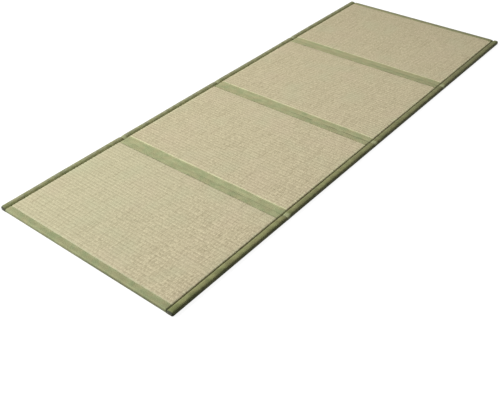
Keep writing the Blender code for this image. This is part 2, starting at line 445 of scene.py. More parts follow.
def face_inwards(points: np.ndarray, quads: np.ndarray) -> bool:
    """Return whether the quads that bound a solid point into it.

    Args:
        points: The points, shaped (points, 3).
        quads: The four points of every face. Upright faces may be left out.

    Returns:
        Whether the volume that they enclose counts as less than nothing.
    """
    corners = points[quads]
    diagonals = np.cross(corners[:, 2] - corners[:, 0], corners[:, 3] - corners[:, 1])
    return bool(np.sum(diagonals[:, 2] * corners[..., 2].mean(axis=1)) < 0.0)


def ring_quads(index: np.ndarray) -> np.ndarray:
    """Return the quads between successive closed rings of numbered points, shaped (quads, 4)."""
    turned = np.roll(index, -1, axis=1)
    return np.stack([index[:-1], turned[:-1], turned[1:], index[1:]], axis=2).reshape(-1, 4)


def tube(name: str, loops: np.ndarray, sharp_degrees: float = 40.0) -> bpy.types.Object:
    """Build a closed mesh through successive closed loops of points, capped at both ends.

    Args:
        name: Name of the piece.
        loops: Points, shaped (loops, points, 3).
        sharp_degrees: Edges with a larger angle are shaded as corners.

    Returns:
        The piece.
    """
    rows, columns, _ = loops.shape
    index = np.arange(rows * columns).reshape(rows, columns)
    quads = ring_quads(index)
    corners = np.concatenate([quads.ravel(), index[0, ::-1], index[-1]])
    counts = np.concatenate([np.full(len(quads), 4), [columns, columns]])
    points = loops.reshape(-1, 3)
    if face_inwards(points, quads):
        corners, counts = corners[::-1], counts[::-1]
    return mesh_piece(name, points, corners, counts, sharp_degrees)


def mesh_piece(
    name: str, points: np.ndarray, corners: np.ndarray, counts: np.ndarray, sharp_degrees: float
) -> bpy.types.Object:
    """Build a mesh from its points and faces.

    Args:
        name: Name of the piece.
        points: The points, shaped (points, 3).
        corners: The point of every face corner, face after face.
        counts: How many corners each face has.
        sharp_degrees: Edges with a larger angle are shaded as corners.

    Returns:
        The piece.
    """
    mesh = bpy.data.meshes.new(name)
    mesh.vertices.add(len(points))
    mesh.vertices.foreach_set("co", points.astype(np.float32).ravel())
    mesh.loops.add(len(corners))
    mesh.loops.foreach_set("vertex_index", corners.astype(np.int32))
    mesh.polygons.add(len(counts))
    mesh.polygons.foreach_set("loop_start", (np.cumsum(counts) - counts).astype(np.int32))
    mesh.update(calc_edges=True)
    mesh.validate()
    mesh.shade_smooth()
    mesh.set_sharp_from_angle(angle=math.radians(sharp_degrees))
    piece = bpy.data.objects.new(name, mesh)
    bpy.context.scene.collection.objects.link(piece)
    return piece


@dataclass(frozen=True)
class Cloud:
    """Soft patches on a surface: how often they come along and across it, and how much shows."""

    rates: tuple[float, float]
    seed: float
    low: float
    high: float
    detail: float = 1.0

    def share(self, paint: Paint, along: Value, across: Value) -> Value:
        """Return how much of the patches shows at a place, 0 to 1.

        Args:
            paint: The material.
            along: The place in the first direction.
            across: The place in the second direction.

        Returns:
            The share.
        """
        place = paint.vector(along * self.rates[0], across * self.rates[1], self.seed)
        return paint.noise(place, self.detail).eased(self.low, self.high)


@dataclass(frozen=True)
class Batch:
    """The rush that one panel is woven from: how much greener it is, and how uneven in tone."""

    fresh: float
    uneven: float


@dataclass(frozen=True)
class RushFinish:
    """Woven rush: pale stalks along the mat, floated over cross ribs, with their uneven dyeing and
    painted shade in the rib valleys and the seam grooves.
    """

    pale: Colour = (0.600, 0.531, 0.351)
    deep: Colour = (0.368, 0.318, 0.199)
    green: Colour = (0.465, 0.460, 0.295)
    pink: Colour = (0.530, 0.437, 0.308)
    near_edge: Colour = (0.440, 0.445, 0.280)
    fold_edge: Colour = (0.600, 0.610, 0.360)
    # valley is the bruises' colour, and painted shade in the valleys between ribs
    valley: Colour = (0.245, 0.200, 0.112)
    # Painted shade of the seam groove, with the dark of the thread sewn there
    seam: Colour = (0.120, 0.108, 0.020)
    roughness: float = 0.62
    gloss_of_pale: float = 0.12
    specular: float = 0.22
    # Sizes of the stalks, of the tufts that they make and of the darker dashes across a rib
    stalk: float = 0.0016
    tuft: float = 0.0032
    dash: float = 0.014
    stalk_rates: tuple[float, float] = (9.0, 0.77)
    dash_rate: float = 3.7
    # Of the stalks, their floats, the tufts and the dashes
    seeds: tuple[float, float, float, float] = (3.0, 1.0, 2.0, 7.0)
    weights: tuple[float, float, float, float] = (0.80, 0.60, 0.66, 0.60)
    rib_weight: float = 0.13
    mean_tone: float = 0.53
    fresh_reach: tuple[float, float] = (-0.42, 0.25)
    greener: Cloud = Cloud((6.25, 6.25), 11.0, 0.48, 0.72, 2.0)
    greener_share: float = 0.38
    pinker: Cloud = Cloud((6.25, 6.25), 23.0, 0.48, 0.72, 2.0)
    pinker_share: float = 0.26
    bruises: Cloud = Cloud((8.0, 5.3), 41.0, 0.63, 0.72)
    bruise_share: float = 0.45
    valley_shade_reach: tuple[float, float] = (0.36, 0.50)
    valley_shade_share: float = 0.30
    seam_shade_reach: tuple[float, float] = (FORM.seam_wall - 0.0016, FORM.seam_wall - 0.0004)
    seam_shade_share: float = 0.85
    # How far from the cloth the edge colour starts and is full, and how much of it shows there
    edge_dashes: Cloud = Cloud((45.0, 45.0), 31.0, 0.42, 0.56)
    side_reach: tuple[float, float] = (0.014, 0.005)
    start_reach: tuple[float, float] = (0.008, 0.003)
    stop_reach: tuple[float, float] = (0.006, 0.002)
    side_share: float = 0.6
    start_plain: float = 0.3
    stop_share: float = 0.5
    edge_share: float = 0.72
    streak_rates: tuple[float, float] = (90.0, 3200.0)
    streak_seed: float = 5.0
    streak_depth: float = 0.00012

    def material(
        self, name: str, span: tuple[float, float], pitch: float, batch: Batch, edge: Colour
    ) -> bpy.types.Material:
        """Return the finish for one panel.

        Args:
            name: Name of the material.
            span: Where along the mat the panel's first rib begins and its last one ends.
            pitch: Length of a rib.
            batch: The panel's rush.
            edge: Colour of the lighter, greener rush beside the cloth.

        Returns:
            The material.
        """
        paint = Paint(name)
        x, y, _ = paint.place()
        ribs = (x - span[0]) * (1.0 / pitch)
        stalk = (y * (1.0 / self.stalk)).floor()
        tone = self._tone(paint, (x, y), ribs, stalk, batch.uneven)
        straw = paint.mix(tone, self.deep, self.pale)
        fresher = y.eased(*self.fresh_reach) * batch.fresh
        greener = self.greener.share(paint, x, y) * self.greener_share + fresher
        straw = paint.mix(greener, straw, self.green)
        straw = paint.mix(self.pinker.share(paint, x, y) * self.pinker_share, straw, self.pink)
        straw = paint.mix(self._edge_share(paint, x, y, span), straw, edge)
        bruised = self.bruises.share(paint, x, stalk) * self.bruise_share
        straw = paint.mix(bruised, straw, self.valley)
        # Painted shade in the valleys between ribs
        valley_shade = (ribs.fraction() - 0.5).size().eased(*self.valley_shade_reach) * self.valley_shade_share
        straw = paint.mix(valley_shade, straw, self.valley)
        # Painted shade in the seam groove beside the rolls, with the dark of its thread
        seam_shade_at = y.size().eased(*self.seam_shade_reach) * self.seam_shade_share
        straw = paint.mix(seam_shade_at, straw, self.seam)
        along, across = self.streak_rates
        streak = paint.noise(paint.vector(x * along, y * across, self.streak_seed))
        paint.bump(streak, self.streak_depth)
        paint.set(Base_Color=straw, Roughness=self.roughness - (tone - 0.5) * self.gloss_of_pale)
        paint.set(Specular_IOR_Level=self.specular)
        return paint.material

    def _tone(
        self, paint: Paint, place: tuple[Value, Value], ribs: Value, stalk: Value, uneven: float
    ) -> Value:
        """Return how pale the rush is, about 0 to 1, before what has coloured it.

        Args:
            paint: The material.
            place: The place on the surface, along and across.
            ribs: How many ribs lie before it.
            stalk: The number of its stalk.
            uneven: How far stalks and tufts differ in tone.

        Returns:
            The tone.
        """
        x, y = place
        half_rib = (ribs * 2.0).floor()
        tuft = (y * (1.0 / self.tuft)).floor()
        along, across = self.stalk_rates
        stalk_seed, float_seed, tuft_seed, dash_seed = self.seeds
        dash = paint.vector(half_rib * self.dash_rate, y * (1.0 / self.dash), dash_seed)
        tones = (
            paint.noise(paint.vector(x * along, stalk * across, stalk_seed)),
            paint.random(paint.vector(half_rib, stalk, float_seed)),
            paint.random(paint.vector(half_rib, tuft, tuft_seed)),
            paint.noise(dash),
        )
        total = sum((tone - 0.5) * weight for tone, weight in zip(tones, self.weights))
        rib_tone = ((ribs.floor() * 0.5).fraction() - 0.25) * self.rib_weight
        return self.mean_tone + total * uneven + rib_tone

    def _edge_share(self, paint: Paint, x: Value, y: Value, span: tuple[float, float]) -> Value:
        """Return how much of the lighter, greener edge colour shows, in dashes beside the cloth.

        Args:
            paint: The material.
            x: The place along the mat.
            y: The place across it.
            span: Where along the mat the panel's woven face starts and stops.

        Returns:
            The share, 0 to 1.
        """
        start, stop = span
        dashes = self.edge_dashes.share(paint, x, y)
        first, full = self.side_reach
        at_side = y.size().eased(FORM.seam_wall - first, FORM.seam_wall - full)
        first, full = self.start_reach
        plain = dashes * (1.0 - self.start_plain) + self.start_plain
        at_start = x.eased(start + first, start + full) * plain
        first, full = self.stop_reach
        at_stop = x.eased(stop - first, stop - full) * dashes * self.stop_share
        at_side = at_side * self.side_share * dashes
        return at_side.most(at_start).most(at_stop) * self.edge_share


@dataclass(frozen=True)
class ClothFinish:
    """Plain-woven cloth, dyed a little unevenly, with painted shade and highlights where it is folded or
    rolled and painted shade towards the far end and right side.
    """

    name: str
    deep: Colour
    pale: Colour
    warm: Colour
    warmth: float
    rolled: bool = False
    yarn: float = 0.0009
    patch: tuple[float, float] = (0.022, 0.040)
    patch_seed: float = 2.0
    patch_range: tuple[float, float] = (0.37, 0.63)
    patch_detail: float = 3.0
    speck_rate: float = 420.0
    # Of the patches, the specks and the weave
    weights: tuple[float, float, float] = (0.70, 0.30, 0.05)
    fade: Cloud = Cloud((36.0, 26.0), 17.0, 0.38, 0.64, 2.0)
    # Of the patches that have faded and of the way from the near end to the far one
    fade_weights: tuple[float, float] = (0.6, 0.4)
    # Painted shade: its share at the near and far end strips, where the strips start, and its share
    # towards the far end and towards the right side
    end_shades: tuple[float, float] = (0.0, 0.0)
    end_reach: tuple[float, float] = (FORM.length / 2 - 0.030, FORM.length / 2 - 0.014)
    far_shade: float = 0.08
    right_shade: float = 0.25
    weave_depth: float = 0.00015
    roughness: float = 0.80
    speck_roughness: float = 0.1
    specular: float = 0.15
    sheen: float = 0.10
    sheen_roughness: float = 0.4
    sheen_tint: Colour = (1.0, 0.98, 0.72)
    # The painted shade along a band's crease, from before the fold line to past it
    fold_crease: tuple[float, float, float, float] = (-0.0022, -0.0004, -0.0004, 0.0016)
    pressed: Cloud = Cloud((5.0, 11.0), 61.0, 0.37, 0.50, 2.0)
    pressed_reach: tuple[float, float] = (0.08, -0.12)
    crease_share: float = 1.0
    outer_crease_share: float = 0.42
    outer_reach: tuple[float, float] = (FORM.panel_pitch * 0.2, FORM.panel_pitch * 0.8)
    # The painted shade and highlights of a roll and its dark tips, whose colours show in full at the
    # second number of each reach
    # Painted shade in the groove at a roll's seam, with the dark of the thread sewn there
    seam: Colour = (0.098, 0.090, 0.016)
    seam_shade_reach: tuple[float, float] = (FORM.seam_wall + 0.0017, FORM.seam_wall + 0.0004)
    seam_shade_share: float = 0.85
    # foot is the colour of all painted shade on the cloth: towards the far end and right, on the end
    # strips, along band creases and low on a roll
    foot: Colour = (0.060, 0.065, 0.030)
    foot_shade_heights: tuple[float, float] = (0.0070, 0.0005)
    foot_shade_share: float = 0.40
    inland_reach: tuple[float, float] = (FORM.panel_pitch * 1.5, FORM.panel_pitch * 1.4)
    # Painted highlight on the lit facet just past each inner fold line
    facet_highlight: Colour = (0.330, 0.355, 0.200)
    facet_highlight_places: tuple[float, float, float, float] = (0.0005, 0.0030, 0.0110, 0.0190)
    facet_highlight_share: float = 0.60
    # Painted shadow just before each inner fold line, where the roll is pinched, stronger beside the
    # seam
    pinch_shadow_places: tuple[float, float, float, float] = (-0.0070, -0.0010, 0.0, 0.0015)
    pinch_shadow_reach: tuple[float, float] = (FORM.seam_wall + 0.020, FORM.seam_wall + 0.002)
    pinch_shadow_shares: tuple[float, float] = (0.7, 0.25)
    # Painted highlight: a greyish sheen in dashes along the left roll's outer crown
    crown_highlight: Colour = (0.370, 0.370, 0.285)
    crown_highlight_dashes: Cloud = Cloud((55.0, 200.0), 53.0, 0.36, 0.62, 2.0)
    crown_highlight_reach: tuple[float, float] = (FORM.width / 2 - 0.022, FORM.width / 2 - 0.012)
    crown_highlight_share: float = 0.50
    tip: Colour = (0.125, 0.165, 0.050)
    tip_reach: tuple[float, float] = (FORM.length / 2 - 0.055, FORM.length / 2 - 0.008)
    tip_share: float = 0.40
    cap: Colour = (0.036, 0.038, 0.034)
    cap_reach: tuple[float, float] = (FORM.length / 2 - 0.0052, FORM.length / 2 - 0.0010)
    cap_share: float = 0.85

    def material(self) -> bpy.types.Material:
        """Return the finish as a material."""
        paint = Paint(self.name)
        x, y, z = paint.place()
        rate = 2.0 * math.pi / self.yarn
        weave = (x * rate).sine() * (y * rate).sine()
        rates = (1.0 / self.patch[0], 1.0 / self.patch[1])
        patches = Cloud(rates, self.patch_seed, *self.patch_range, self.patch_detail)
        specks = paint.vector(x * self.speck_rate, y * self.speck_rate, z * self.speck_rate)
        speck = paint.noise(specks)
        in_patches, in_specks, in_weave = self.weights
        tone = patches.share(paint, x, y) * in_patches + speck * in_specks + weave * in_weave
        colour = paint.mix(tone, self.deep, self.pale)
        drift = x.eased(-FORM.length / 2, FORM.length / 2)
        in_fade, in_drift = self.fade_weights
        faded = self.fade.share(paint, x, y) * in_fade + drift * in_drift
        colour = paint.mix(faded * self.warmth, colour, self.warm)
        # Painted shade: darker towards the far end, more so on the right side, and darker on the end
        # strips
        near_end, far_end = self.end_shades
        at_end = x.size().eased(*self.end_reach)
        shade = drift * (self.far_shade - y * self.right_shade)
        shade = shade + at_end * (drift * (far_end - near_end) + near_end)
        colour = paint.mix(shade, colour, self.foot)
        past_fold = ((x * (1.0 / FORM.panel_pitch) + 0.5).fraction() - 0.5) * FORM.panel_pitch
        if self.rolled:
            colour = self._roll_shade_highlights_and_tips(paint, colour, past_fold, (x, y, z))
        else:
            # Painted shade along the crease at each fold line, in patches, strongest on the middle band
            # and towards the right side
            lost = x.size().eased(*self.outer_reach) * (self.crease_share - self.outer_crease_share)
            pressed = self.pressed.share(paint, x, y) * y.eased(*self.pressed_reach)
            crease = past_fold.inside(*self.fold_crease) * pressed * (self.crease_share - lost)
            colour = paint.mix(crease, colour, self.foot)
        paint.bump(weave * 0.5 + speck, self.weave_depth)
        paint.set(Base_Color=colour, Roughness=self.roughness + (speck - 0.5) * self.speck_roughness)
        paint.set(Specular_IOR_Level=self.specular, Sheen_Weight=self.sheen)
        paint.set(Sheen_Roughness=self.sheen_roughness, Sheen_Tint=self.sheen_tint)
        return paint.material

    def _roll_shade_highlights_and_tips(
        self,
        paint: Paint,
        colour: bpy.types.NodeSocket,
        past_fold: Value,
        place: tuple[Value, Value, Value],
    ) -> bpy.types.NodeSocket:
        """Return a roll's colour, with painted shade at its foot, seam and pinches, painted highlights
        on the facets past the folds and the left roll's outer crown, and dark tips.

        Args:
            paint: The material.
            colour: The cloth's own colour.
            past_fold: How far along the mat the place lies past the fold line nearest to it.
            place: The place on the surface, along, across and up.

        Returns:
            The colour with its painted shade, highlights and dark tips.
        """
        x, y, z = place
        length_out, width_out = x.size(), y.size()
        inland = length_out.eased(*self.inland_reach)
        # Painted highlight on the facet just past each inner fold
        lit_facet = past_fold.inside(*self.facet_highlight_places) * inland
        # Painted shadow just before each inner fold
        pinched = past_fold.inside(*self.pinch_shadow_places) * inland
        beside_seam, everywhere = self.pinch_shadow_shares
        pinch_shadow_share = width_out.eased(*self.pinch_shadow_reach) * beside_seam + everywhere
        # Painted highlight along the left roll's outer crown
        crown_highlight = y.eased(*self.crown_highlight_reach) * self.crown_highlight_dashes.share(paint, x, y)
        wear = (
            (crown_highlight * self.crown_highlight_share, self.crown_highlight),
            (length_out.eased(*self.tip_reach) * self.tip_share, self.tip),
            (lit_facet * self.facet_highlight_share, self.facet_highlight),
            (pinched * pinch_shadow_share, self.seam),
            # Painted shade, darker towards the floor
            (z.eased(*self.foot_shade_heights) * self.foot_shade_share, self.foot),
            # Painted shade in the seam groove, with the dark of its thread
            (width_out.eased(*self.seam_shade_reach) * self.seam_shade_share, self.seam),
            (length_out.eased(*self.cap_reach) * self.cap_share, self.cap),
        )
        for share, tint in wear:
            colour = paint.mix(share, colour, tint)
        return colour


def dress(piece: bpy.types.Object, slot: Slot, material: bpy.types.Material, *nodes: str) -> None:
    """Give a piece its material and body, and let it stand for some CAD nodes.

    Args:
        piece: The piece.
        slot: The record's material slot that it would take its finish from; not used.
        material: Its material.
        nodes: The CAD nodes that it stands for.
    """
    piece.data.materials.append(material)
    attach(piece, BODY)
    if nodes:
        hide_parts(*nodes)
    triangles = sum(len(face.vertices) - 2 for face in piece.data.polygons)
    LOG.info("%s: %d triangles", piece.name, triangles)


@dataclass
class Stitching:
    """Rows of machine stitches that sew the cloth strips down along their edges."""

    finish: bpy.types.Material
    pitch: float = 0.0046
    length: float = 0.0033
    width: float = 0.00060
    height: float = 0.00050
    rise: float = 0.00006
    margin: float = 0.004
    rings: tuple[tuple[float, float], ...] = ((-0.5, 0.3), (-0.3, 1.0), (0.3, 1.0), (0.5, 0.3))
    sides: int = 4
    sharp_degrees: float = 80.0

    def middles(self) -> np.ndarray:
        """Return where across the mat the stitches of a row lie."""
        reach = FORM.seam_wall - self.margin
        return np.linspace(-reach, reach, round(2 * reach / self.pitch) + 1)

    def build(self, name: str, rows: Sequence[np.ndarray]) -> bpy.types.Object:
        """Build the rows of one strip as a single piece, and dress it.

        Args:
            name: Name of the piece.
            rows: The middles of each row's stitches on the cloth, shaped (stitches, 3).

        Returns:
            The piece.
        """
        middles = np.concatenate(rows)
        along, fullness = np.array(self.rings).T
        turns = np.arange(self.sides) * 2 * math.pi / self.sides
        x = fullness[:, None] * np.cos(turns) * self.width / 2
        y = np.broadcast_to(along[:, None] * self.length, x.shape)
        z = fullness[:, None] * np.sin(turns) * self.height / 2 + self.rise
        one = np.stack([x, y, z], axis=2).reshape(1, -1, 3)
        points = (middles[:, None] + one).reshape(-1, 3)
        index = np.arange(one.shape[1]).reshape(-1, self.sides)
        sides = ring_quads(index)
        faces = np.concatenate([sides, [index[0, ::-1], index[-1]]])
        faces = faces[:, ::-1] if face_inwards(one[0], sides) else faces
        quads = (np.arange(len(middles))[:, None, None] * index.size + faces).reshape(-1, 4)
        counts = np.full(len(quads), 4)
        piece = mesh_piece(name, points, quads.ravel(), counts, self.sharp_degrees)
        dress(piece, Slot.BAND, self.finish)
        return piece


@dataclass
class EndBindings:
    """The flat cloth strips folded over the two short ends."""

    width: float = 0.024
    height: float = 0.0162
    nose: float = 0.0075
    squareness: tuple[float, float] = (0.52, 0.65)
    seam_height: float = 0.0159
    nose_cuts: int = 17
    top_cuts: int = 9
    wave: float = 0.0005
    wave_seed: int = 41
    wave_cell: tuple[float, float] = (0.045, 1.0)
    pucker: float = 0.00018
    pucker_seed: int = 43
    pucker_cell: tuple[float, float] = (0.012, 0.006)
    stations: int = 160
    stitch_inset: float = 0.0024
    flat_width: float = 0.055

    def stitches(self, end: End, y: np.ndarray) -> np.ndarray:
        """Return the middles of a strip's stitches, at places across the mat.

        Args:
            end: Which end.
            y: The places across the mat.

        Returns:
            The middles, shaped (stitches, 3).
        """
        inwards = np.full_like(y, self.width - self.stitch_inset)
        top = np.interp(inwards, *self.profile()[-self.top_cuts :].T) - FORM.dip_to_side(y)
        return np.stack([end.value * (FORM.length / 2 - inwards), y, top], axis=1)

    def top_and_bottom(self, inwards: np.ndarray, inside: float) -> tuple[np.ndarray, np.ndarray]:
        """Return the heights of the rounded edge's top and bottom.

        Args:
            inwards: Distances in from the end of the mat.
            inside: How far inside the strip's outer face.

        Returns:
            The heights of the top and of the bottom.
        """
        half = self.height / 2
        share = np.clip((self.nose - inwards) / (self.nose - inside), 0.0, 1.0)
        rises = [(half - inside) * self.rise(share, power) for power in self.squareness]
        return half + rises[1], half - rises[0]

    def rise(self, share: np.ndarray, power: float) -> np.ndarray:
        """Return how high the rounded edge stands, 0 to 1, where it is a share of the way out."""
        return np.maximum(1.0 - share ** (2.0 / power), 0.0) ** (power / 2.0)

    def profile(self) -> np.ndarray:
        """Return the outer curve, lower lip to seam: distance in and height."""
        out, up = rounded(np.radians(np.linspace(-90, 90, self.nose_cuts)), *self.squareness)
        nose = np.stack([self.nose * (1 - out), self.height / 2 * (1 + up)], axis=1)
        share = np.linspace(0.0, 1.0, self.top_cuts + 1)[1:]
        top = np.stack(
            [
                self.nose + (self.width - self.nose) * share,
                self.height - (self.height - self.seam_height) * share**2,
            ],
            axis=1,
        )
        lip = np.array([[self.width, 0.0], [(self.width + self.nose) / 2, 0.0]])
        return np.concatenate([lip, nose, top])

    def build(self, material: bpy.types.Material) -> list[bpy.types.Object]:
        """Build both strips and return them.

        Args:
            material: Their cloth.

        Returns:
            The near strip and the far one.
        """
        pieces = []
        for end in End:
            reach = FORM.width / 2 - FORM.side_width - FORM.gap
            y = FORM.across(self.stations, reach)
            outer = np.repeat(self.profile()[None], len(y), axis=0)
            waver = Unevenness(self.wave_seed + end.value, self.wave_cell).at(y, 0 * y)[:, None]
            puckers = Unevenness(self.pucker_seed + end.value, self.pucker_cell)
            rumple = puckers.at(y[:, None], outer[..., 0])
            inland = smooth_step((outer[..., 0] - self.nose) / (self.width - self.nose))
            outer[..., 0] += self.wave * waver * inland
            above = np.clip(outer[..., 1] / self.height, 0.0, 1.0)
            outer[..., 1] += above * (self.pucker * rumple - FORM.dip_to_side(y)[:, None])
            section = np.concatenate([outer, inset(outer, FORM.cloth)[:, ::-1]], axis=1)
            across = np.broadcast_to(y[:, None], section.shape[:2])
            x = end.value * (FORM.length / 2 - section[..., 0])
            name = end.name.lower()
            piece = tube(f"end_strip_{name}", np.stack([x, across, section[..., 1]], axis=2))
            dress(piece, Slot.BAND, material, f"end_binding_{name}")
            pieces.append(piece)
        return pieces


@dataclass
class FoldBands:
    """The cloth strips sewn over the three fold lines, dipping into the folds."""

    width: float = 0.050
    edge_lift: float = 0.0009
    edge_reach: float = 0.005
    edge_wave: float = 0.0008
    wave_rate: float = 31.0
    wave_step: float = 2.0
    rumple: float = 0.00028
    rumple_seed: int = 61
    rumple_cell: tuple[float, float] = (0.022, 0.055)
    rim_bulge: float = 0.3
    stitch_inset: float = 0.0024
    stitch_sink: float = 0.00025
    stitch_spread: float = 0.0008
    edge_cuts: tuple[float, ...] = (0.0, 0.0004, 0.0010, 0.0017, 0.0024, 0.0031, 0.0040, 0.0052)
    outer_cuts: tuple[float, ...] = (0.0180, 0.0160, 0.0140, 0.0120, 0.0100, 0.0085, 0.0070, 0.0055)
    fold_cuts: tuple[float, ...] = (0.0042, 0.0030, 0.0018, 0.0008)
    stations: int = 168
    flat_width: float = 0.0516
    creases: tuple[tuple[float, float, float], ...] = (
        (-0.150, 0.110, 0.0013),
        (-0.250, 0.130, 0.0009),
        (0.050, 0.300, 0.0003),
    )
    side_creases: tuple[tuple[float, float, float, float], ...] = (
        (0.0075, -0.200, 0.090, 0.0009),
        (-0.0060, -0.120, 0.140, 0.0005),
        (0.0060, 0.180, 0.120, 0.0004),
    )
    crease_width: float = 0.0022

    def columns(self) -> np.ndarray:
        """Return the distances from the fold line where the strip is cut, finest at its edges."""
        edge = self.width / 2 - np.array(self.edge_cuts)
        half = np.concatenate([edge, self.outer_cuts, self.fold_cuts])
        return np.concatenate([-half, [0.0], half[::-1]])

    def height(self, index: int, distance: np.ndarray, y: np.ndarray) -> np.ndarray:
        """Return the height of a strip's upper face.

        Args:
            index: Which fold.
            distance: Distances from its fold line, along the mat.
            y: Places across the mat.

        Returns:
            The heights.
        """
        creased, spread, extra = self.creases[index]
        deeper = extra * np.exp(-(((y - creased) / spread) ** 2))
        valley = FORM.dip_to_fold(distance) * (1.0 + deeper / FORM.fold_dip)
        offset, middle, reach, depth = self.side_creases[index]
        along = np.exp(-(((y - middle) / reach) ** 2))
        aside = depth * along * np.exp(-(((distance - offset) / self.crease_width) ** 2))
        to_edge = self.width / 2 - np.abs(distance)
        lift = self.edge_lift * (1.0 - smooth_step(to_edge / self.edge_reach))
        from_stitches = (to_edge - self.stitch_inset) / self.stitch_spread
        sink = self.stitch_sink * np.exp(-(from_stitches**2))
        rumples = Unevenness(self.rumple_seed + index, self.rumple_cell)
        rumple = self.rumple * rumples.at(distance, y)
        return FORM.rush_top + lift + rumple - valley - aside - sink - FORM.dip_to_side(y)

    def edge_shift(self, index: int, distance: np.ndarray, y: np.ndarray) -> np.ndarray:
        """Return how far the strip's wavering edges shift it along the mat.

        Args:
            index: Which fold.
            distance: Distances from its fold line, along the mat.
            y: Places across the mat.

        Returns:
            The shifts.
        """
        way = np.sign(distance)
        wave = self.edge_wave * np.sin(self.wave_rate * y + self.wave_step * index + way)
        return way * wave * smooth_step(np.abs(distance) / (self.width / 2))

    def stitches(self, index: int, y: np.ndarray) -> list[np.ndarray]:
        """Return the middles of a strip's two rows of stitches, at places across the mat.

        Args:
            index: Which fold.
            y: The places across the mat.

        Returns:
            The middles of each row, shaped (stitches, 3).
        """
        rows = []
        for way in (-1.0, 1.0):
            distance = np.full_like(y, way * (self.width / 2 - self.stitch_inset))
            x = FORM.fold_lines[index] + distance + self.edge_shift(index, distance, y)
            rows.append(np.stack([x, y, self.height(index, distance, y)], axis=1))
        return rows

    def build(self, material: bpy.types.Material) -> list[bpy.types.Object]:
        """Build the three strips and return them.

        Args:
            material: Their cloth.

        Returns:
            The strips, nearest first.
        """
        pieces = []
        reach = FORM.seam_wall + FORM.seam_gap
        y = FORM.across(self.stations, reach)[:, None]
        distance = self.columns()[None]
        for index, line in enumerate(FORM.fold_lines):
            x = line + distance + self.edge_shift(index, distance, y)
            top = self.height(index, distance, y)
            across = np.broadcast_to(y, top.shape)
            upper = np.stack([x, across, top], axis=2)
            lower = np.stack([x, across, top - FORM.cloth], axis=2)
            rim = np.array([FORM.cloth * self.rim_bulge, 0.0, -FORM.cloth / 2])
            far_rim = upper[:, -1:] + rim
            near_rim = upper[:, :1] + rim * (-1, 1, 1)
            loops = np.concatenate([upper, far_rim, lower[:, ::-1], near_rim], axis=1)
            piece = tube(f"fold_strip_{index + 1}", loops)
            dress(piece, Slot.BAND, material, f"fold_band_{index + 1}")
            pieces.append(piece)
        return pieces


